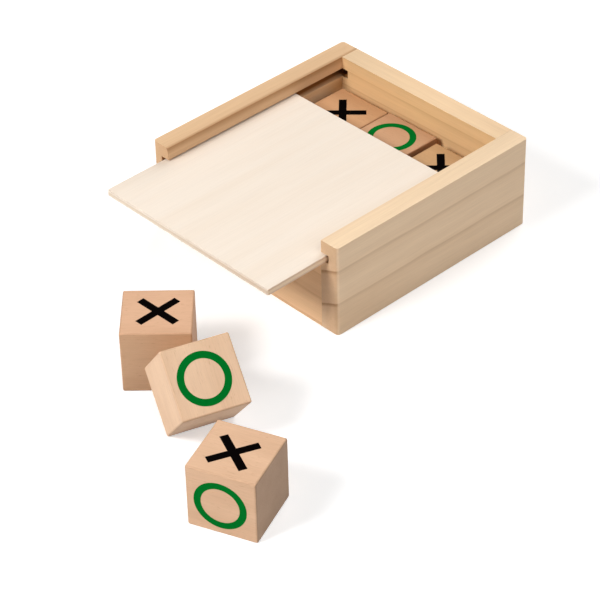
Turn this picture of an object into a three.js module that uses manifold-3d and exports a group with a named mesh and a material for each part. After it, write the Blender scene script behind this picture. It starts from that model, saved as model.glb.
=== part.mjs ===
// Wooden noughts-and-crosses set: pine box with a sliding lid and nine playing cubes.
// Millimetres, +Z up, origin on the table under the middle of the box, +Y to its back.
import * as THREE from 'three';
import { ConvexGeometry } from 'three/addons/geometries/ConvexGeometry.js';
import { RoundedBoxGeometry } from 'three/addons/geometries/RoundedBoxGeometry.js';
import { mergeVertices } from 'three/addons/utils/BufferGeometryUtils.js';
import Module from 'manifold-3d';

const wasm = await Module();
wasm.setup();

// Playing cubes
const cubeSide = 25;
const cubeEase = 0.6;
const cubesAcross = 3;

// Room that the box leaves round its cubes
const slackAcross = 5.8;
const slackDeep = 6.3;
const headroom = 2.5;

// Walls
const sideWallThickness = 8.1;
const backWallThickness = 8.4;
const frontWallThickness = 8.1;
const cornerRadius = 1.4;
const outerEase = 0.5;
const rimHeight = 5.1;
const rimEase = 0.4;

// Base panel, let into a pocket under the walls
const baseThickness = 1.8;
const pocketReach = 4;
const pocketCornerRadius = 3;
const basePlay = 0.2;

// Lid
const lidThickness = 2.7;
const lidProud = 3.5;
const lidOpening = 24;
const lidCornerRadius = 0.8;
const lidEase = 0.3;

// Lid slots, milled into the side walls from the front
const slotReach = 3.8;
const slotCutterRadius = 3.5;
const slotRunOut = 2.5;
const slotPlay = 0.9;
const lidSidePlay = 1.45;
const lidLift = 0.2;
const lidStopGap = 0.3;
const frontWallRelief = 0.1;

// Cubes in the box: gaps counted from the right wall and from the back wall
const rightWallGap = 0.15;
const rightColumnGap = 2.3;
const leftColumnGap = 0.2;
const backRowGap = { left: 3, middle: 2.4, right: 5 };
const rowGap = 0.5;

// Cubes on the table, placed by shares of a cube's side: the left one from the middle of
// the lid's front edge, the right one from the leaning one
const leftCubeAcrossShare = 0.708;
const leftCubeForwardShare = 1.16;
const leftCubeDegrees = 46.3;
const rightCubeAcrossShare = 1.648;
const rightCubeForwardShare = 0.786;
const rightCubeDegrees = 22.6;
const leaningTurnDegrees = 70.7;
const leaningTiltDegrees = 41.2;
const leaningSlip = -5.2;
const leanGap = 0.2;

// Facets and the overrun of cutters past a face
const arcSegments = 8;
const easeSegments = 2;
const overrun = 1;

// Worked out from the above
const innerWidth = cubesAcross * cubeSide + slackAcross;
const innerDepth = cubesAcross * cubeSide + slackDeep;
const boxWidth = innerWidth + sideWallThickness + sideWallThickness;
const boxDepth = innerDepth + frontWallThickness + backWallThickness;
const slotFloor = baseThickness + cubeSide + headroom;
const slotHeight = lidThickness + slotPlay;
const boxHeight = slotFloor + slotHeight + rimHeight;
const innerRight = innerWidth / 2;
const innerBack = boxDepth / 2 - backWallThickness;
const innerFront = -boxDepth / 2 + frontWallThickness;
const lidHalfWidth = innerRight + slotReach - lidSidePlay;
const lidBack = innerBack - lidStopGap - lidOpening;
const lidFront = -boxDepth / 2 - lidProud - lidOpening;

function material(name, color) {
  return new THREE.MeshStandardMaterial({ name, color, roughness: 0.7 });
}

function solidFrom(geometry) {
  const bare = new THREE.BufferGeometry();
  bare.setAttribute('position', geometry.getAttribute('position'));
  if (geometry.index) bare.setIndex(geometry.index);
  const merged = mergeVertices(bare);
  return new wasm.Manifold(new wasm.Mesh({
    numProp: 3,
    vertProperties: new Float32Array(merged.getAttribute('position').array),
    triVerts: new Uint32Array(merged.index.array),
  }));
}

function geometryFrom(solid) {
  const mesh = solid.getMesh();
  const geometry = new THREE.BufferGeometry();
  geometry.setAttribute('position', new THREE.Float32BufferAttribute(mesh.vertProperties, 3));
  geometry.setIndex(Array.from(mesh.triVerts));
  const flat = geometry.toNonIndexed();
  flat.computeVertexNormals();
  return flat;
}

function node(name, solid, color) {
  const mesh = new THREE.Mesh(geometryFrom(solid), material(name, color));
  mesh.name = name;
  return mesh;
}

// A block between two opposite corners
function block(low, high) {
  const points = [];
  for (const x of [low[0], high[0]]) {
    for (const y of [low[1], high[1]]) {
      for (const z of [low[2], high[2]]) points.push(new THREE.Vector3(x, y, z));
    }
  }
  return solidFrom(new ConvexGeometry(points));
}

// A flat slab with round corners in plan and, where ease is given, eased edges
function slab(area, bottom, top, radius, ease) {
  const { left, right, front, back } = area;
  const outline = new THREE.Shape();
  outline.moveTo(left + radius, front);
  outline.lineTo(right - radius, front);
  outline.absarc(right - radius, front + radius, radius, -Math.PI / 2, 0, false);
  outline.lineTo(right, back - radius);
  outline.absarc(right - radius, back - radius, radius, 0, Math.PI / 2, false);
  outline.lineTo(left + radius, back);
  outline.absarc(left + radius, back - radius, radius, Math.PI / 2, Math.PI, false);
  outline.lineTo(left, front + radius);
  outline.absarc(left + radius, front + radius, radius, Math.PI, Math.PI * 3 / 2, false);
  const geometry = new THREE.ExtrudeGeometry(outline, {
    depth: top - bottom - ease - ease,
    curveSegments: arcSegments,
    bevelEnabled: ease > 0,
    bevelThickness: ease,
    bevelSize: ease,
    bevelOffset: -ease,
    bevelSegments: easeSegments,
  });
  geometry.translate(0, 0, bottom + ease);
  return solidFrom(geometry);
}

// The glued-up box's outside, which rounds its corners and eases its outer edges
function outside() {
  const area = { left: -boxWidth / 2, right: boxWidth / 2, front: -boxDepth / 2, back: boxDepth / 2 };
  return slab(area, 0, boxHeight, cornerRadius, outerEase);
}

// The pocket that the base panel is let into
function basePocket() {
  const area = {
    left: -innerRight - pocketReach,
    right: innerRight + pocketReach,
    front: innerFront - pocketReach,
    back: innerBack + pocketReach,
  };
  return slab(area, -overrun, baseThickness, pocketCornerRadius, 0);
}

// The path of the slot cutter along one side wall, with its round run-out at the back
function slotPath(side) {
  const centreX = innerRight + slotReach - slotCutterRadius;
  const stopY = innerBack + slotRunOut - slotCutterRadius;
  const start = -boxDepth / 2 - overrun;
  const path = new THREE.Shape();
  path.moveTo(centreX - slotCutterRadius, start);
  path.lineTo(centreX + slotCutterRadius, start);
  path.lineTo(centreX + slotCutterRadius, stopY);
  path.absarc(centreX, stopY, slotCutterRadius, 0, Math.PI, false);
  const geometry = new THREE.ExtrudeGeometry(path, {
    depth: slotHeight,
    curveSegments: arcSegments + arcSegments,
    bevelEnabled: false,
  });
  geometry.translate(0, 0, slotFloor);
  if (side > 0) return solidFrom(geometry);
  geometry.rotateY(Math.PI);
  geometry.translate(0, 0, slotFloor + slotFloor + slotHeight);
  return solidFrom(geometry);
}

// The bevel round the inner edge of the rim, open at the front
function rimBevel() {
  const points = [];
  for (const [z, grow] of [[boxHeight - rimEase, 0], [boxHeight + overrun, rimEase + overrun]]) {
    for (const x of [-innerRight - grow, innerRight + grow]) {
      for (const y of [-boxDepth / 2 - overrun, innerBack + grow]) points.push(new THREE.Vector3(x, y, z));
    }
  }
  return solidFrom(new ConvexGeometry(points));
}

// Side wall: full depth, slotted for the lid
function sideWall(side) {
  const near = side * innerRight;
  const far = side * boxWidth / 2;
  const low = [Math.min(near, far), -boxDepth / 2, 0];
  const high = [Math.max(near, far), boxDepth / 2, boxHeight];
  return block(low, high)
    .intersect(outside())
    .subtract(slotPath(side))
    .subtract(rimBevel())
    .subtract(basePocket());
}

// Back wall: between the side walls, nicked where the slot cutter ran out
function backWall() {
  return block([-innerRight, innerBack, 0], [innerRight, boxDepth / 2, boxHeight])
    .intersect(outside())
    .subtract(slotPath(1))
    .subtract(slotPath(-1))
    .subtract(rimBevel())
    .subtract(basePocket());
}

// Front wall: between the side walls, low enough for the lid to pass over it
function frontWall() {
  const top = slotFloor - frontWallRelief;
  return block([-innerRight, -boxDepth / 2, 0], [innerRight, innerFront, top])
    .intersect(outside())
    .subtract(basePocket());
}

function basePanel() {
  const reach = pocketReach - basePlay;
  const area = {
    left: -innerRight - reach,
    right: innerRight + reach,
    front: innerFront - reach,
    back: innerBack + reach,
  };
  return slab(area, 0, baseThickness, pocketCornerRadius - basePlay, 0);
}

// Lid: drawn towards the front by lidOpening from its closed place
function lid() {
  const area = { left: -lidHalfWidth, right: lidHalfWidth, front: lidFront, back: lidBack };
  const bottom = slotFloor + lidLift;
  return slab(area, bottom, bottom + lidThickness, lidCornerRadius, lidEase);
}

function cube(place) {
  const geometry = new RoundedBoxGeometry(cubeSide, cubeSide, cubeSide, easeSegments, cubeEase);
  geometry.applyMatrix4(place);
  return solidFrom(geometry);
}

function standing(x, y, floor, turn) {
  const place = new THREE.Matrix4().makeRotationZ(THREE.MathUtils.degToRad(turn));
  return place.setPosition(x, y, floor + cubeSide / 2);
}

function leftCubePlace() {
  const x = leftCubeAcrossShare * cubeSide;
  const y = lidFront - leftCubeForwardShare * cubeSide;
  return standing(x, y, 0, leftCubeDegrees);
}

// The leaning cube stands on one edge, and its left edge rests on a corner of the left cube
function leaningCubePlace() {
  const turn = THREE.MathUtils.degToRad(leaningTurnDegrees);
  const tilt = THREE.MathUtils.degToRad(leaningTiltDegrees);
  const core = cubeSide / 2 - cubeEase;
  const centre = new THREE.Vector3(core, -core, 0).applyMatrix4(leftCubePlace());
  const along = new THREE.Vector3(Math.cos(turn), Math.sin(turn), 0);
  const across = new THREE.Vector3(Math.sin(turn), -Math.cos(turn), 0);
  const halfHeight = core * (Math.cos(tilt) + Math.sin(tilt));
  centre.addScaledVector(across, halfHeight + cubeEase + cubeEase + leanGap);
  centre.addScaledVector(along, leaningSlip);
  const place = new THREE.Matrix4().makeRotationZ(turn);
  place.multiply(new THREE.Matrix4().makeRotationX(tilt));
  return place.setPosition(centre.x, centre.y, halfHeight + cubeEase);
}

function rightCubePlace() {
  const centre = new THREE.Vector3().setFromMatrixPosition(leaningCubePlace());
  const x = centre.x + rightCubeAcrossShare * cubeSide;
  const y = centre.y - rightCubeForwardShare * cubeSide;
  return standing(x, y, 0, rightCubeDegrees);
}

const set = new THREE.Group();
set.name = 'noughts_and_crosses_set';

const pine = '#d9b184';
set.add(node('wall_left', sideWall(-1), pine));
set.add(node('wall_right', sideWall(1), pine));
set.add(node('wall_back', backWall(), pine));
set.add(node('wall_front', frontWall(), pine));
set.add(node('base_panel', basePanel(), '#c9a273'));
set.add(node('lid', lid(), '#f2e2cc'));

const beech = '#e0b48f';
set.add(node('cube_loose_left', cube(leftCubePlace()), beech));
set.add(node('cube_loose_leaning', cube(leaningCubePlace()), beech));
set.add(node('cube_loose_right', cube(rightCubePlace()), beech));

const rightX = innerRight - rightWallGap - cubeSide / 2;
const middleX = rightX - cubeSide - rightColumnGap;
const leftX = middleX - cubeSide - leftColumnGap;
for (const [column, x] of [['left', leftX], ['middle', middleX], ['right', rightX]]) {
  const backY = innerBack - backRowGap[column] - cubeSide / 2;
  const hiddenY = backY - cubeSide - rowGap;
  set.add(node(`cube_back_${column}`, cube(standing(x, backY, baseThickness, 0)), beech));
  set.add(node(`cube_hidden_${column}`, cube(standing(x, hiddenY, baseThickness, 0)), beech));
}

export default set;
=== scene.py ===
import math

import bmesh
import bpy
from mathutils import Euler, Matrix, Vector


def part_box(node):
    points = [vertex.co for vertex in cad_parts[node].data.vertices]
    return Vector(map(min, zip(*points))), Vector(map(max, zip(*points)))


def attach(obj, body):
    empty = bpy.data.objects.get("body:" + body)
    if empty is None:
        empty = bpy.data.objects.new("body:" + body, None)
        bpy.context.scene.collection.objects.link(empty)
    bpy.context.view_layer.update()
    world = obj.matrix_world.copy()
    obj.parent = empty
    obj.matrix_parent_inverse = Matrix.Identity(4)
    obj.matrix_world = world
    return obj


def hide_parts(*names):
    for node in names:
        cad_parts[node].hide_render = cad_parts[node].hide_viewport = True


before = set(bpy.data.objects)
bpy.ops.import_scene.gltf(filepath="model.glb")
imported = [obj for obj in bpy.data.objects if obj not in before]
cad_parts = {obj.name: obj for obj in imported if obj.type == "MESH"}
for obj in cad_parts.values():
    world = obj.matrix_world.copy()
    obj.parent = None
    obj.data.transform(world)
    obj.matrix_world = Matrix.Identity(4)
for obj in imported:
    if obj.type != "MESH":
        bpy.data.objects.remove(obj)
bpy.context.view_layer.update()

# Camera: it looks down on the right front corner of the box from about a metre away,
# through a long lens that keeps the edges nearly parallel, and it leans a little.
camera_place = Vector((0.54438, -0.52502, 0.54046))
camera_target = Vector((0.02360, -0.04387, 0))
camera_roll = math.radians(-1.388)
camera_sensor = 36
camera_lens = 147.85

camera_data = bpy.data.cameras.new("camera")
camera_data.sensor_width = camera_sensor
camera_data.lens = camera_lens
camera = bpy.data.objects.new("camera", camera_data)
bpy.context.scene.collection.objects.link(camera)
bpy.context.scene.camera = camera
camera.location = camera_place
camera.rotation_mode = "QUATERNION"
sight = (camera_target - camera_place).to_track_quat("-Z", "Y")
camera.rotation_quaternion = sight @ Euler((0, 0, camera_roll)).to_quaternion()

# Table and studio light: a white table top that runs out to a white room, a soft lamp in
# front, a wide one to the right that lifts the shade, and a weak one behind for the tops.
table_reach = 3
table_gap = 0.00005
table_white = (0.8, 0.8, 0.8, 1)
table_glow = 0.45
room_white = (1, 1, 1, 1)
room_light = 0.04
key_side = 0.35
key_distance = 1.1
key_azimuth = math.radians(-10)
key_elevation = math.radians(40)
key_power = 8.7
fill_side = 0.9
fill_distance = 1.4
fill_azimuth = math.radians(85)
fill_elevation = math.radians(45)
fill_power = 6.0
back_side = 0.9
back_distance = 1.4
back_azimuth = math.radians(190)
back_elevation = math.radians(50)
back_power = 8.4


def add_node(tree, kind, inputs=None, **options):
    """Adds a shader node, sets its options and fills its sockets by value or by link."""
    made = tree.nodes.new(kind)
    for option, value in options.items():
        setattr(made, option, value)
    for socket, value in (inputs or {}).items():
        if isinstance(value, bpy.types.NodeSocket):
            tree.links.new(value, made.inputs[socket])
        else:
            made.inputs[socket].default_value = value
    return made


def calculated(tree, operation, first, second=0):
    """The result of one sum on numbers or sockets."""
    return add_node(tree, "ShaderNodeMath", {0: first, 1: second}, operation=operation).outputs[0]


def graded(tree, value, start, end, low=0, high=1, **options):
    """Turns start to end into low to high, and holds what lies outside."""
    made = add_node(
        tree, "ShaderNodeMapRange",
        {"Value": value, "From Min": start, "From Max": end, "To Min": low, "To Max": high}, **options)
    return made.outputs["Result"]


def seen_directly(tree):
    """1 for what the eye sees straight or in a gloss, 0 for light that falls on things."""
    ray = add_node(tree, "ShaderNodeLightPath").outputs
    in_gloss = calculated(tree, "MAXIMUM", ray["Is Glossy Ray"], ray["Is Transmission Ray"])
    return calculated(tree, "MAXIMUM", ray["Is Camera Ray"], in_gloss)


def add_lamp(name, side, distance, azimuth, elevation, power):
    """A square lamp that faces the box from that azimuth, counted from the box's front."""
    data = bpy.data.lights.new(name, "AREA")
    data.size = side
    data.energy = power
    lamp = bpy.data.objects.new(name, data)
    bpy.context.scene.collection.objects.link(lamp)
    level = math.cos(elevation)
    away = Vector((level * math.sin(azimuth), -level * math.cos(azimuth), math.sin(elevation)))
    lamp.location = away * distance
    lamp.rotation_mode = "QUATERNION"
    lamp.rotation_quaternion = (-away).to_track_quat("-Z", "Y")


table_form = bmesh.new()
bmesh.ops.create_grid(table_form, x_segments=1, y_segments=1, size=table_reach)
bmesh.ops.translate(table_form, verts=table_form.verts, vec=(0, 0, -table_gap))
table_mesh = bpy.data.meshes.new("table_top")
table_form.to_mesh(table_mesh)
table_form.free()
table_top = bpy.data.objects.new("table_top", table_mesh)
bpy.context.scene.collection.objects.link(table_top)

table_finish = bpy.data.materials.new("table_white")
table_finish.use_nodes = True
tree = table_finish.node_tree
tree.nodes.clear()
matt = add_node(tree, "ShaderNodeBsdfDiffuse", {"Color": table_white})
glow_level = calculated(tree, "MULTIPLY", seen_directly(tree), table_glow)
glow = add_node(tree, "ShaderNodeEmission", {"Strength": glow_level})
both = add_node(tree, "ShaderNodeAddShader", {0: matt.outputs[0], 1: glow.outputs[0]})
add_node(tree, "ShaderNodeOutputMaterial", {"Surface": both.outputs[0]})
table_mesh.materials.append(table_finish)

room = bpy.data.worlds.new("room")
room.use_nodes = True
bpy.context.scene.world = room
tree = room.node_tree
tree.nodes.clear()
room_level = graded(tree, seen_directly(tree), 0, 1, room_light, 1)
air = add_node(tree, "ShaderNodeBackground", {"Color": room_white, "Strength": room_level})
add_node(tree, "ShaderNodeOutputWorld", {"Surface": air.outputs[0]})

add_lamp("key_lamp", key_side, key_distance, key_azimuth, key_elevation, key_power)
add_lamp("fill_lamp", fill_side, fill_distance, fill_azimuth, fill_elevation, fill_power)
add_lamp("back_lamp", back_side, back_distance, back_azimuth, back_elevation, back_power)
bpy.context.scene.view_settings.view_transform = "Standard"

# Box frame: four pine boards, butted and glued, then slotted for the lid and sanded as one.
# The slots are cut by a round cutter from the front, and it nicks the back wall where it
# stops. The boards are sawn out of the sanded frame, so their edges meet exactly.
right_low, right_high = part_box("wall_right")
frame_right, frame_top = right_high.x, right_high.z
frame_front, frame_back = right_low.y, right_high.y
inner_right = right_low.x
inner_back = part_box("wall_back")[0].y
inner_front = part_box("wall_front")[1].y
front_wall_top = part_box("wall_front")[1].z
corner_radius = 0.0014
corner_steps = 8
slot_floor = 0.0293
slot_top = 0.0329
slot_reach = 0.0038
cutter_radius = 0.0035
cutter_steps = 64
slot_run_out = 0.0025
pocket_depth = 0.0018
pocket_reach = 0.004
pocket_radius = 0.003
pocket_steps = 8
overrun = 0.001
sanded_edge = 0.0005
sanded_steps = 3
glue_gap = Vector((0.00001, 0, 0))
least_rise = 0.001
face_slack = 0.00006
merge_reach = 0.000006
sawing_reach = 0.000003
flat_turn = math.radians(1)
sharp_turn = math.radians(35)
flat_face_weight = 100


def block_form(low, high):
    """A bmesh block between two opposite corners, which remembers its worn faces."""
    form = bmesh.new()
    form.faces.layers.float.new("worn")
    bmesh.ops.create_cube(form, size=1)
    middle = [(a + b) / 2 for a, b in zip(low, high)]
    spread = [b - a for a, b in zip(low, high)]
    bmesh.ops.scale(form, verts=form.verts, vec=spread)
    bmesh.ops.translate(form, verts=form.verts, vec=middle)
    return form


def round_edges(form, edges, radius, steps):
    """Rounds the given edges of a bmesh and marks what it makes as worn."""
    rounded = bmesh.ops.bevel(
        form, geom=edges, offset=radius, segments=steps, profile=0.5, affect="EDGES",
        material=-1, clamp_overlap=True)["faces"]
    worn = form.faces.layers.float["worn"]
    for face in rounded:
        face[worn] = 1


def upright_edges(form):
    return [edge for edge in form.edges if abs(edge.verts[0].co.z - edge.verts[1].co.z) > least_rise]


def piece_from(form, name):
    """Makes a bmesh an object at the origin, with its faces outward."""
    bmesh.ops.recalc_face_normals(form, faces=form.faces)
    mesh = bpy.data.meshes.new(name)
    form.to_mesh(mesh)
    form.free()
    piece = bpy.data.objects.new(name, mesh)
    bpy.context.scene.collection.objects.link(piece)
    return piece


def carve(piece, cutter):
    """Cuts one object's shape out of another and throws the cutter away."""
    cut = piece.modifiers.new("cut", "BOOLEAN")
    cut.operation = "DIFFERENCE"
    cut.solver = "EXACT"
    cut.object = cutter
    bpy.context.view_layer.update()
    graph = bpy.context.evaluated_depsgraph_get()
    carved = bpy.data.meshes.new_from_object(piece.evaluated_get(graph))
    piece.modifiers.remove(cut)
    piece.data = carved
    bpy.data.objects.remove(cutter)


def shade_sanded(piece):
    """Smooth shading that keeps the flat faces flat and rolls over the rounded edges."""
    for face in piece.data.polygons:
        face.use_smooth = True
    weighted = piece.modifiers.new("flat_faces", "WEIGHTED_NORMAL")
    weighted.weight = flat_face_weight
    weighted.keep_sharp = True


outside = block_form((-frame_right, frame_front, 0), (frame_right, frame_back, frame_top))
round_edges(outside, upright_edges(outside), corner_radius, corner_steps)
box_frame = piece_from(outside, "box_frame")
cavity = block_form(
    (-inner_right, inner_front, -overrun), (inner_right, inner_back, frame_top + overrun))
carve(box_frame, piece_from(cavity, "cavity"))
lid_way = block_form(
    (-inner_right, frame_front - overrun, front_wall_top), (inner_right, 0, frame_top + overrun))
carve(box_frame, piece_from(lid_way, "lid_way"))
pocket = block_form(
    (-inner_right - pocket_reach, inner_front - pocket_reach, -overrun),
    (inner_right + pocket_reach, inner_back + pocket_reach, pocket_depth))
round_edges(pocket, upright_edges(pocket), pocket_radius, pocket_steps)
carve(box_frame, piece_from(pocket, "pocket"))
for side in (-1, 1):
    cutter_x = side * (inner_right + slot_reach - cutter_radius)
    cutter_stop = inner_back + slot_run_out - cutter_radius
    path = block_form(
        (cutter_x - cutter_radius, frame_front - overrun, slot_floor),
        (cutter_x + cutter_radius, cutter_stop, slot_top))
    carve(box_frame, piece_from(path, "slot_path"))
    cutter = bmesh.new()
    bmesh.ops.create_cone(
        cutter, cap_ends=True, segments=cutter_steps, radius1=cutter_radius, radius2=cutter_radius,
        depth=slot_top - slot_floor)
    bmesh.ops.translate(
        cutter, verts=cutter.verts, vec=(cutter_x, cutter_stop, (slot_floor + slot_top) / 2))
    carve(box_frame, piece_from(cutter, "slot_end"))

sanded = bmesh.new()
sanded.from_mesh(box_frame.data)
worn = sanded.faces.layers.float.get("worn") or sanded.faces.layers.float.new("worn")
milled = sanded.faces.layers.float.new("milled")
for face in sanded.faces:
    spot = face.calc_center_median()
    in_slot = slot_floor - face_slack < spot.z < slot_top + face_slack
    past_inside = abs(spot.x) > inner_right or spot.y > inner_back
    short_of_outside = abs(spot.x) < frame_right - overrun and frame_front < spot.y < frame_back - overrun
    face[worn] = 0
    face[milled] = in_slot and past_inside and short_of_outside
bmesh.ops.remove_doubles(sanded, verts=sanded.verts, dist=merge_reach)
bmesh.ops.dissolve_limit(sanded, angle_limit=flat_turn, verts=sanded.verts, edges=sanded.edges)
corners = [edge for edge in sanded.edges if edge.is_convex and edge.calc_face_angle(0) > sharp_turn]
round_edges(sanded, corners, sanded_edge, sanded_steps)
sanded.to_mesh(box_frame.data)
sanded.free()


def sawn_board(name, cuts):
    """One board of the frame: what lies on the far side of each cut, a point and a direction."""
    form = bmesh.new()
    form.from_mesh(box_frame.data)
    for point, away in cuts:
        everything = form.verts[:] + form.edges[:] + form.faces[:]
        bmesh.ops.bisect_plane(
            form, geom=everything, dist=sawing_reach, plane_co=point, plane_no=away, clear_inner=True)
        open_edges = [edge for edge in form.edges if edge.is_boundary]
        bmesh.ops.holes_fill(form, edges=open_edges, sides=0)
    return piece_from(form, name)


right_cut = (Vector((inner_right, 0, 0)), Vector((1, 0, 0)))
left_cut = (Vector((-inner_right, 0, 0)), Vector((-1, 0, 0)))
between_sides = [(right_cut[0] - glue_gap, left_cut[1]), (left_cut[0] + glue_gap, right_cut[1])]
board_right = sawn_board("board_right", [right_cut])
board_left = sawn_board("board_left", [left_cut])
board_back = sawn_board("board_back", between_sides + [(Vector(), Vector((0, 1, 0)))])
board_front = sawn_board("board_front", between_sides + [(Vector(), Vector((0, -1, 0)))])
bpy.data.objects.remove(box_frame)
for board, node_name in (
        (board_right, "wall_right"), (board_left, "wall_left"),
        (board_back, "wall_back"), (board_front, "wall_front")):
    shade_sanded(board)
    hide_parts(node_name)
    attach(board, "box")

# Pine of the four boards: wide growth rings round a far-off pith, with a pale early wood that
# darkens slowly into a thin brown line, fine fibres, darker end grain and edges worn by hands.
# The slots hold painted shade, deepest inside the wall and towards the back, where the cutter stopped.
wood_loss = (0.62, 0.82, 1)
wood_shine = 0.3
fibre_depth = 0.00004
end_slant_span = (0.55, 0.9)
wear_stretch = (160, 160, 160)
worn_share = 0.22
early_wood_to = 0.45
late_wood_at = 0.84
end_line_from = 0.86
ring_line_at = 0.95
ring_line_to = 0.99
end_line_share = 0.55
sway_stretch = (14, 45, 45)
pine_fibre_stretch = (70, 2600, 2600)
pine_fibre_span = (0.3, 0.62)
pine_fibre_grey = 0.94
pine_streak_stretch = (12, 420, 420)
pine_streak_span = (0.35, 0.65)
pine_streak_share = 0.07
pine_dents = 0.6
pine_smooth = 0.54
pine_rough = 0.7
slot_shade_share = 0.9
slot_shade_depth = 0.0026
nick_shade_depth = 0.0008
slot_shade_full_from = -0.01
slot_shade_at_front = 0.45


def paint(red, green, blue):
    """A colour that is written as it looks on a screen, from 0 to 255, as light."""
    shares = [value / 255 for value in (red, green, blue)]
    light = [share / 12.92 if share <= 0.04045 else ((share + 0.055) / 1.055) ** 2.4 for share in shares]
    return (*light, 1)


def grey(level):
    return (level, level, level, 1)


def deeper(colour, share):
    """The colour of denser or cut-across wood, or of painted shade: less light back, least of the blue.
    """
    kept = [level * (1 - share * loss) for level, loss in zip(colour, wood_loss)]
    return (*kept, 1)


def new_finish(name):
    """An empty material with its tree, its surface shader and the object's own coordinates."""
    finish = bpy.data.materials.new(name)
    finish.use_nodes = True
    tree = finish.node_tree
    tree.nodes.clear()
    surface = add_node(tree, "ShaderNodeBsdfPrincipled")
    add_node(tree, "ShaderNodeOutputMaterial", {"Surface": surface.outputs["BSDF"]})
    own = add_node(tree, "ShaderNodeTexCoord").outputs
    return finish, tree, surface, own


def vector_result(tree, operation, first, second=(0, 0, 0)):
    """The result of one sum on vectors, which for a length or a dot product is a number."""
    made = add_node(tree, "ShaderNodeVectorMath", {0: first, 1: second}, operation=operation)
    return made.outputs["Value" if operation in ("LENGTH", "DOT_PRODUCT") else "Vector"]


def stretched_noise(tree, place, stretch, detail):
    """Noise from 0 to 1 whose features per metre along X, Y and Z are given by stretch."""
    spot = vector_result(tree, "MULTIPLY", place, stretch)
    noise = add_node(tree, "ShaderNodeTexNoise", {"Vector": spot, "Scale": 1, "Detail": detail})
    return noise.outputs["Fac"]


def ramp(tree, value, stops, steps="LINEAR"):
    """A colour ramp with the given places and colours."""
    made = add_node(tree, "ShaderNodeValToRGB", {"Fac": value})
    band = made.color_ramp
    band.interpolation = steps
    while len(band.elements) < len(stops):
        band.elements.new(0.5)
    for element, (place, colour) in zip(band.elements, stops):
        element.position = place
        element.color = colour
    return made.outputs["Color"]


def blended(tree, pattern, span, low, high):
    """The low colour up to the start of the span, the high one past its end."""
    return ramp(tree, pattern, ((span[0], low), (span[1], high)))


def mixed(tree, level, first, second, blend="MIX"):
    """Two colours mixed: the first at level 0, the second at level 1."""
    made = add_node(
        tree, "ShaderNodeMix", {0: level, 6: first, 7: second}, data_type="RGBA", blend_type=blend)
    return made.outputs[2]


def multiplied(tree, colour, factor):
    return mixed(tree, 1, colour, factor, "MULTIPLY")


def toned(tree, wood, level, tone):
    """The wood, multiplied by a tone as far as the level from 0 to 1 says."""
    return multiplied(tree, wood, mixed(tree, level, grey(1), tone))


def across_grain(tree, own, grain):
    """1 on faces that cut the grain across, 0 on faces along it."""
    slant = calculated(tree, "ABSOLUTE", vector_result(tree, "DOT_PRODUCT", own["Normal"], grain))
    return blended(tree, slant, end_slant_span, grey(0), grey(1))


def worn_edges(tree, wood, place):
    """Darkens the sanded edges in patches, where hands have worn them."""
    worn = add_node(tree, "ShaderNodeAttribute", attribute_name="worn").outputs["Fac"]
    patches = stretched_noise(tree, place, wear_stretch, detail=2)
    level = calculated(tree, "MULTIPLY", worn, patches)
    return toned(tree, wood, level, deeper(grey(1), worn_share))


def stained_or_shaded(tree, wood, own, middle, reach, tone):
    """Tones the wood for stains and painted shade in a soft round patch, with its middle and reach on X,
    Y, Z.
    """
    offset = vector_result(tree, "SUBTRACT", own["Object"], middle)
    distance = vector_result(tree, "LENGTH", vector_result(tree, "DIVIDE", offset, reach))
    level = graded(tree, distance, 0, 1, 1, 0, interpolation_type="SMOOTHSTEP")
    return toned(tree, wood, level, tone)


def finish_surface(tree, surface, colour, pattern, dents, smooth, rough, shine):
    """Gives the shader its colour, and dents and a roughness that follow one fine pattern."""
    tree.links.new(colour, surface.inputs["Base Color"])
    bump = add_node(
        tree, "ShaderNodeBump", {"Height": pattern, "Distance": fibre_depth, "Strength": dents})
    tree.links.new(bump.outputs["Normal"], surface.inputs["Normal"])
    tree.links.new(graded(tree, pattern, 0, 1, rough, smooth), surface.inputs["Roughness"])
    surface.inputs["Specular IOR Level"].default_value = shine


def slot_shade_level(tree, own):
    """Painted shade inside the slots, 0 to 1: more with the depth into the wall and towards the back."""
    spot = add_node(tree, "ShaderNodeSeparateXYZ", {"Vector": own["Object"]}).outputs
    sideways = calculated(tree, "ABSOLUTE", spot["X"])
    into_side = graded(tree, sideways, inner_right, inner_right + slot_shade_depth)
    into_back = graded(tree, spot["Y"], inner_back, inner_back + nick_shade_depth)
    milled = add_node(tree, "ShaderNodeAttribute", attribute_name="milled").outputs["Fac"]
    in_slot = calculated(tree, "MULTIPLY", milled, calculated(tree, "MAXIMUM", into_side, into_back))
    towards_back = graded(tree, spot["Y"], frame_front, slot_shade_full_from, slot_shade_at_front, 1)
    return calculated(tree, "MULTIPLY", in_slot, towards_back)


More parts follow.
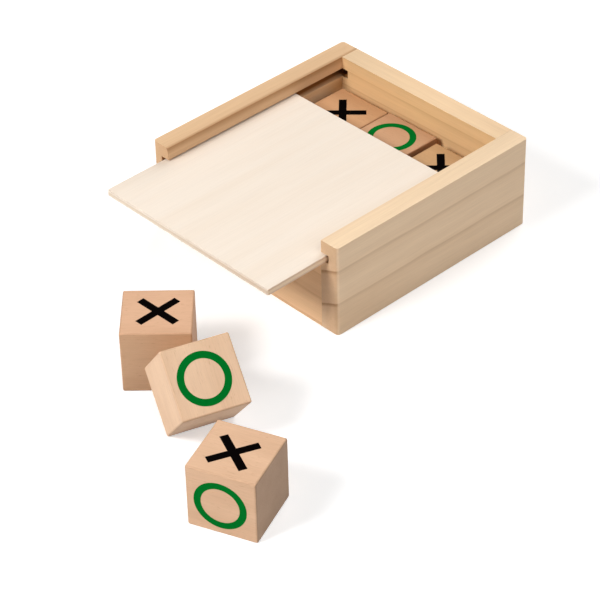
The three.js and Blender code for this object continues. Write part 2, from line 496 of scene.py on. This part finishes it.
def finish_pine(
        board, turn, pine, rim_tone, end_share, pith, ring_width, ring_start, waver, late_share,
        line_share, stain_or_shade=None):
    """Pine with its grain along X after the given turn about Z, ringed round the pith."""
    finish, tree, surface, own = new_finish(board.name)
    board.data.materials.clear()
    board.data.materials.append(finish)
    turned = add_node(
        tree, "ShaderNodeMapping", {"Vector": own["Object"], "Rotation": (0, 0, math.radians(-turn))})
    place = turned.outputs["Vector"]
    sway = graded(tree, stretched_noise(tree, place, sway_stretch, detail=3), 0, 1, -waver, waver)
    from_pith = vector_result(tree, "SUBTRACT", place, pith)
    radius = vector_result(tree, "LENGTH", vector_result(tree, "MULTIPLY", from_pith, (0, 1, 1)))
    rings = calculated(tree, "DIVIDE", calculated(tree, "ADD", radius, sway), ring_width)
    phase = calculated(tree, "FRACT", calculated(tree, "ADD", rings, ring_start))
    wood = ramp(tree, phase, (
        (0, pine), (early_wood_to, pine), (late_wood_at, deeper(pine, late_share)),
        (ring_line_at, deeper(pine, line_share)), (ring_line_to, pine)))
    fibres = stretched_noise(tree, place, pine_fibre_stretch, detail=2)
    fibre_tone = blended(tree, fibres, pine_fibre_span, grey(pine_fibre_grey), grey(1))
    streaks = stretched_noise(tree, place, pine_streak_stretch, detail=3)
    streak_tone = blended(tree, streaks, pine_streak_span, deeper(grey(1), pine_streak_share), grey(1))
    wood = multiplied(tree, multiplied(tree, wood, fibre_tone), streak_tone)
    wood = toned(tree, wood, across_grain(tree, own, (0, 0, 1)), rim_tone)
    at_end = across_grain(tree, own, (0, 1, 0) if turn else (1, 0, 0))
    wood = toned(tree, wood, at_end, deeper(grey(1), end_share))
    end_line = ramp(tree, phase, (
        (0, grey(0)), (end_line_from, grey(0)), (ring_line_at, grey(1)), (ring_line_to, grey(0))))
    end_line_level = calculated(tree, "MULTIPLY", at_end, end_line)
    wood = toned(tree, wood, end_line_level, deeper(grey(1), end_line_share))
    # Painted shade in the slots, deepest inside the wall and towards the back.
    wood = toned(tree, wood, slot_shade_level(tree, own), deeper(grey(1), slot_shade_share))
    # A stain, or painted shade, in a soft patch where one is given.
    if stain_or_shade:
        wood = stained_or_shaded(tree, wood, own, *stain_or_shade)
    wood = worn_edges(tree, wood, place)
    finish_surface(tree, surface, wood, fibres, pine_dents, pine_smooth, pine_rough, wood_shine)


front_corner_stain = ((frame_right, frame_front, 0.006), (0.0025, 0.05, 0.012), (0.86, 0.82, 0.78, 1))
# Painted shade on the left board's inner face in its back corner, around the height of the slot.
inner_corner_shade = ((-inner_right, inner_back, 0.026), (0.003, 0.013, 0.0065), (0.74, 0.62, 0.44, 1))
finish_pine(
    board_right, turn=90, pine=paint(249, 219, 184), rim_tone=(1.05, 1.07, 1.06, 1), end_share=0.38,
    pith=(0, -0.0889, -0.0852), ring_width=0.0134, ring_start=-0.01, waver=0.0012,
    late_share=0.09, line_share=0.25, stain_or_shade=front_corner_stain)
finish_pine(
    board_left, turn=90, pine=paint(236, 197, 155), rim_tone=(0.97, 0.97, 0.96, 1), end_share=0.25,
    pith=(0, 0.0904, 0.0130), ring_width=0.0125, ring_start=0.478, waver=0.0004,
    late_share=0.07, line_share=0.62, stain_or_shade=inner_corner_shade)
finish_pine(
    board_back, turn=0, pine=paint(247, 206, 152), rim_tone=(1.09, 1.2, 1.48, 1), end_share=0.3,
    pith=(0, 0.036, -0.08), ring_width=0.0065, ring_start=0.565, waver=0.0005,
    late_share=0.1, line_share=0.22)
finish_pine(
    board_front, turn=0, pine=paint(240, 199, 156), rim_tone=grey(1), end_share=0.3,
    pith=(0, -0.12, -0.05), ring_width=0.0071, ring_start=0.6, waver=0.0012,
    late_share=0.07, line_share=0.2)

# Base panel and lid: thin plywood with a pale, even face veneer and darker sawn edges. The base
# is let into a pocket under the boards. The lid runs in the slots, with its corners and edges
# eased, and carries a painted shadow of the left rail along its left edge.
lid_low, lid_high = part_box("lid")
lid_corner = 0.0008
lid_ease = 0.0003
lid_face = paint(247, 233, 217)
lid_streak = paint(245, 229, 211)
# A painted shadow of the left rail: a soft darker band along the lid's left edge.
lid_painted_shadow = ((lid_low.x, -0.02, lid_high.z), (0.014, 0.075, 0.004), (0.86, 0.87, 0.88, 1))
base_low, base_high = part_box("base_panel")
base_corner = 0.0028
base_face = paint(226, 196, 158)
base_streak = paint(214, 181, 141)
panel_steps = 5
ply_share = 0.3
ply_core = paint(232, 212, 188)
outer_ply_tone = (0.88, 0.72, 0.6, 1)
middle_ply_tone = (1.17, 1.1, 1.02, 1)
figure_span = (0.35, 0.7)
veneer_stretch = (160, 9, 160)
ply_fibre_stretch = (2400, 60, 2400)
ply_fibre_span = (0.3, 0.6)
ply_fibre_grey = 0.97
ply_dents = 0.4
ply_smooth = 0.54
ply_rough = 0.68


def plywood_finish(name, low, high, face, streak, painted_shadow=None):
    """Plywood with its face grain along Y; the middle ply shows as a band on its edges."""
    finish, tree, surface, own = new_finish(name)
    place = own["Object"]
    figure = stretched_noise(tree, place, veneer_stretch, detail=4)
    veneer = blended(tree, figure, figure_span, face, streak)
    fibres = stretched_noise(tree, place, ply_fibre_stretch, detail=2)
    fibre_tone = blended(tree, fibres, ply_fibre_span, grey(ply_fibre_grey), grey(1))
    veneer = multiplied(tree, veneer, fibre_tone)
    height = add_node(tree, "ShaderNodeSeparateXYZ", {"Vector": place}).outputs["Z"]
    middle = ramp(tree, graded(tree, height, low.z, high.z), (
        (0, grey(0)), (ply_share, grey(1)), (1 - ply_share, grey(0))), "CONSTANT")
    wood = mixed(tree, middle, veneer, ply_core)
    sawn_tone = mixed(tree, middle, outer_ply_tone, middle_ply_tone)
    wood = toned(tree, wood, across_grain(tree, own, (1, 0, 0)), sawn_tone)
    # A painted shadow, where one is given.
    if painted_shadow:
        wood = stained_or_shaded(tree, wood, own, *painted_shadow)
    wood = worn_edges(tree, wood, place)
    finish_surface(tree, surface, wood, fibres, ply_dents, ply_smooth, ply_rough, wood_shine)
    return finish


def panel(name, low, high, corner, ease):
    """A thin board with round corners, and with eased rims where an ease is given."""
    form = block_form(low, high)
    round_edges(form, upright_edges(form), corner, panel_steps)
    if ease:
        rims = [edge for edge in form.edges if edge.calc_face_angle(0) > sharp_turn]
        round_edges(form, rims, ease, sanded_steps)
    piece = piece_from(form, name)
    shade_sanded(piece)
    return piece


lid_panel = panel("lid_panel", lid_low, lid_high, lid_corner, lid_ease)
lid_panel.data.materials.append(
    plywood_finish("lid_plywood", lid_low, lid_high, lid_face, lid_streak, lid_painted_shadow))
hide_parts("lid")
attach(lid_panel, "lid")

base_board = panel("base_board", base_low, base_high, base_corner, 0)
base_board.data.materials.append(
    plywood_finish("base_plywood", base_low, base_high, base_face, base_streak))
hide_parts("base_panel")
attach(base_board, "box")

# Playing cubes: sawn beech with sanded edges, each with its own run of grain. Three lie on
# the table, one of them on an edge against its neighbour, and six stand in the box.
# Each has its colour, the turn of its grain, and the tones of its end grain and its sides.
cube_side = 0.025
cube_ease = 0.00064
cube_steps = 4
cube_wood_and_shade = {
    # Its side tone is painted shade on its front and back faces.
    "cube_loose_left": (paint(222, 177, 143), 0, grey(0.86), (0.87, 0.9, 0.87, 1)),
    "cube_loose_leaning": (paint(236, 199, 165), 90, grey(0.84), grey(1)),
    "cube_loose_right": (paint(227, 186, 152), 0, grey(0.58), grey(1)),
    # The back row is darker and more orange than the rest: beech with painted shade and warm bounce light
    # from the box.
    "cube_back_left": (paint(209, 159, 115), 0, grey(0.75), grey(0.94)),
    "cube_back_middle": (paint(206, 159, 121), 0, deeper(grey(1), 0.62), grey(0.96)),
    "cube_back_right": (paint(206, 163, 116), 0, grey(0.75), grey(1)),
    "cube_hidden_left": (paint(226, 186, 152), 90, grey(0.75), grey(0.95)),
    "cube_hidden_middle": (paint(232, 194, 162), 0, grey(0.75), grey(1)),
    "cube_hidden_right": (paint(222, 182, 148), 90, grey(0.75), grey(0.92)),
}
left_turn = math.radians(46.3)
right_turn = math.radians(22.6)
leaning_turn = math.radians(70.7)
leaning_tilt = math.radians(41.2)
cube_turns = {
    "cube_loose_left": Euler((0, 0, left_turn)),
    "cube_loose_right": Euler((0, 0, right_turn)),
    "cube_loose_leaning": Euler((leaning_tilt, 0, leaning_turn)),
}
tree_step = 0.07 * Vector((1, 1 / 3, 1 / 7))
beech_figure_stretch = (25, 120, 120)
beech_deep_share = 0.14
beech_fleck_stretch = (450, 2600, 2600)
beech_fleck_span = (0.66, 0.74)
beech_fleck_share = 0.45
beech_fleck_level = 0.45
beech_fibre_stretch = (110, 2400, 2400)
beech_fibre_span = (0.3, 0.6)
beech_fibre_grey = 0.94
beech_dents = 0.5
beech_smooth = 0.5
beech_rough = 0.66


def cube_place(name):
    """The matrix that carries a cube from the origin to where it stands or lies."""
    low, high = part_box(name)
    turn = cube_turns.get(name, Euler((0, 0, 0)))
    return Matrix.Translation((low + high) / 2) @ turn.to_matrix().to_4x4()


def beech_finish(name, place, run, beech, turn, end_tone, side_tone):
    """Beech whose grain runs along the cube's X after the turn; run moves it through the tree."""
    finish, tree, surface, own = new_finish(name)
    grown = place @ Matrix.Rotation(math.radians(turn), 4, "Z")
    centred = add_node(
        tree, "ShaderNodeMapping",
        {"Vector": own["Object"], "Location": grown.to_translation(), "Rotation": grown.to_euler()},
        vector_type="TEXTURE")
    spot = vector_result(tree, "ADD", centred.outputs["Vector"], run)
    figure = stretched_noise(tree, spot, beech_figure_stretch, detail=3)
    wood = blended(tree, figure, figure_span, beech, deeper(beech, beech_deep_share))
    flecks = stretched_noise(tree, spot, beech_fleck_stretch, detail=1)
    fleck_mask = blended(tree, flecks, beech_fleck_span, grey(0), grey(1))
    fleck_level = calculated(tree, "MULTIPLY", fleck_mask, beech_fleck_level)
    wood = mixed(tree, fleck_level, wood, deeper(beech, beech_fleck_share))
    fibres = stretched_noise(tree, spot, beech_fibre_stretch, detail=2)
    fibre_tone = blended(tree, fibres, beech_fibre_span, grey(beech_fibre_grey), grey(1))
    wood = multiplied(tree, wood, fibre_tone)
    wood = toned(tree, wood, across_grain(tree, own, grown.col[0].to_3d()), end_tone)
    wood = toned(tree, wood, across_grain(tree, own, grown.col[1].to_3d()), side_tone)
    wood = worn_edges(tree, wood, spot)
    finish_surface(tree, surface, wood, fibres, beech_dents, beech_smooth, beech_rough, wood_shine)
    return finish


def body_of(name):
    return name.removeprefix("cube_")


for count, (name, wood_and_shade) in enumerate(cube_wood_and_shade.items()):
    form = block_form((-cube_side / 2,) * 3, (cube_side / 2,) * 3)
    round_edges(form, form.edges[:], cube_ease, cube_steps)
    place = cube_place(name)
    bmesh.ops.transform(form, matrix=place, verts=form.verts)
    block = piece_from(form, f"{name}_block")
    shade_sanded(block)
    block.data.materials.append(beech_finish(block.name, place, tree_step * count, *wood_and_shade))
    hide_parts(name)
    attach(block, body_of(name))

# Game marks: a black cross on one face of every cube and a green ring on a face beside it,
# stamped by hand in a thin film of ink, so that none sits quite in the middle of its face.
# Each cube has the face of its cross and of its ring, and how far each is along and up.
ink_film = 0.00004
ink_bite = 0.00002
cross_arm = 0.0091
cross_bar = 0.0030
ring_outside = 0.0094
ring_inside = 0.0069
ring_sides = 96
cross_black = paint(4, 2, 2)
ring_green = paint(0, 117, 40)
ink_patch_stretch = (900, 900, 900)
ink_patch_span = (0.3, 0.7)
ink_patch_grey = 0.88
ink_dents = 0.4
ink_smooth = 0.74
ink_rough = 0.86
ink_shine = 0.01
quarter_turn = math.radians(90)
face_turns = {
    "top": Euler((0, 0, 0)),
    "front": Euler((quarter_turn, 0, 0)),
    "back": Euler((-quarter_turn, 0, 0)),
    "left": Euler((0, -quarter_turn, 0)),
    "right": Euler((0, quarter_turn, 0)),
}
cube_marks = {
    "cube_loose_left": (("top", 0.0003, 0.0002), ("back", -0.0004, 0.0003)),
    "cube_loose_leaning": (("right", 0.0002, -0.0005), ("top", -0.0006, -0.0004)),
    "cube_loose_right": (("top", -0.0007, -0.0008), ("front", -0.0004, -0.0006)),
    "cube_back_left": (("top", 0.0002, 0.0001), ("front", 0.0003, 0.0005)),
    "cube_back_middle": (("left", -0.0005, 0.0002), ("top", 0.0001, 0.0006)),
    "cube_back_right": (("top", 0.0002, 0.0016), ("right", 0.0004, -0.0003)),
    "cube_hidden_left": (("back", 0.0003, 0.0004), ("top", -0.0005, 0.0002)),
    "cube_hidden_middle": (("top", 0.0006, -0.0002), ("left", 0.0001, 0.0005)),
    "cube_hidden_right": (("front", -0.0002, 0.0006), ("top", 0.0004, 0.0003)),
}


def ink_finish(name, colour):
    """Matt ink that has soaked into the wood a little unevenly."""
    finish, tree, surface, own = new_finish(name)
    patches = stretched_noise(tree, own["Object"], ink_patch_stretch, detail=3)
    ink = multiplied(tree, colour, blended(tree, patches, ink_patch_span, grey(ink_patch_grey), grey(1)))
    finish_surface(tree, surface, ink, patches, ink_dents, ink_smooth, ink_rough, ink_shine)
    return finish


def cross_form():
    """A square whose four sides are drawn out into bars along the face's diagonals."""
    form = bmesh.new()
    bmesh.ops.create_grid(form, x_segments=1, y_segments=1, size=cross_bar / 2)
    for edge in form.edges[:]:
        way = (edge.verts[0].co + edge.verts[1].co).normalized()
        drawn = bmesh.ops.extrude_edge_only(form, edges=[edge])["geom"]
        ends = [item for item in drawn if isinstance(item, bmesh.types.BMVert)]
        bmesh.ops.translate(form, verts=ends, vec=way * (cross_arm - cross_bar / 2))
    bmesh.ops.rotate(form, verts=form.verts, matrix=Matrix.Rotation(quarter_turn / 2, 3, "Z"))
    return form


def nought_form():
    """A circle whose edge is drawn inwards to make a flat ring."""
    form = bmesh.new()
    bmesh.ops.create_circle(form, segments=ring_sides, radius=ring_outside)
    drawn = bmesh.ops.extrude_edge_only(form, edges=form.edges[:])["geom"]
    inner = [item for item in drawn if isinstance(item, bmesh.types.BMVert)]
    bmesh.ops.scale(form, verts=inner, vec=(ring_inside / ring_outside,) * 2 + (1,))
    return form


def print_mark(form, name, spot, place, finish, body):
    """Gives a flat mark the ink's thickness and lays it on one face, shifted by the stamp's error."""
    face, shift_along, shift_up = spot
    drawn = bmesh.ops.extrude_face_region(form, geom=form.faces[:])["geom"]
    film = [item for item in drawn if isinstance(item, bmesh.types.BMVert)]
    bmesh.ops.translate(form, verts=film, vec=(0, 0, ink_film + ink_bite))
    bmesh.ops.translate(form, verts=form.verts, vec=(shift_along, shift_up, cube_side / 2 - ink_bite))
    bmesh.ops.transform(form, matrix=place @ face_turns[face].to_matrix().to_4x4(), verts=form.verts)
    mark = piece_from(form, name)
    mark.data.materials.append(finish)
    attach(mark, body)


black_ink = ink_finish("cross_ink", cross_black)
green_ink = ink_finish("nought_ink", ring_green)
for name, (cross_spot, nought_spot) in cube_marks.items():
    place = cube_place(name)
    print_mark(cross_form(), f"{name}_cross", cross_spot, place, black_ink, body_of(name))
    print_mark(nought_form(), f"{name}_nought", nought_spot, place, green_ink, body_of(name))
